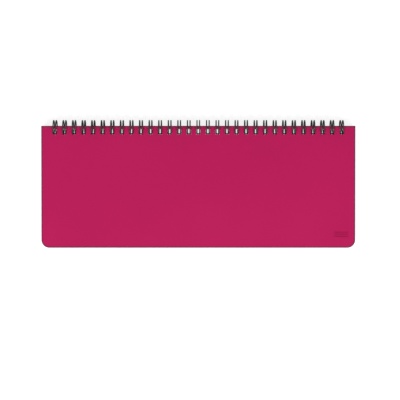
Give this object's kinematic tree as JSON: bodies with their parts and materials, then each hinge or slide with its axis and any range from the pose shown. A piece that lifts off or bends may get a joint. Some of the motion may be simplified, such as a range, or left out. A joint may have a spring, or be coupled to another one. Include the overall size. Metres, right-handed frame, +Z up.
{
  "type": "desk pad calendar",
  "caption": "Wide, shallow wire-bound desk pad calendar lying closed, with deep pink boards, rounded front corners and black twin-loop wire along the back edge.",
  "frame": {"origin": "under the middle of the closed pad, on the surface that it lies on", "axes": "+X along the binding, +Y towards the binding, +Z up through the front cover"},
  "size_m": [0.278, 0.1136, 0.0131],
  "materials": {
    "cover": "matte smooth board",
    "paper": "uncoated",
    "wire": "satin black nylon coat"
  },
  "bodies": {
    "pad": {"page_block": "paper", "binding_wire": "wire"},
    "front": {"front_cover": "cover"},
    "back": {"back_cover": "cover"}
  },
  "joints": [
    {"name": "front_cover_turn", "type": "hinge", "parent": "pad", "child": "front", "pos_m": [0, 0.05141, 0.00737], "axis": [-1, 0, 0], "range_deg": [0, 180]},
    {"name": "back_cover_turn", "type": "hinge", "parent": "pad", "child": "back", "pos_m": [0, 0.05017, 0.00665], "axis": [1, 0, 0], "range_deg": [0, 180]}
  ]
}
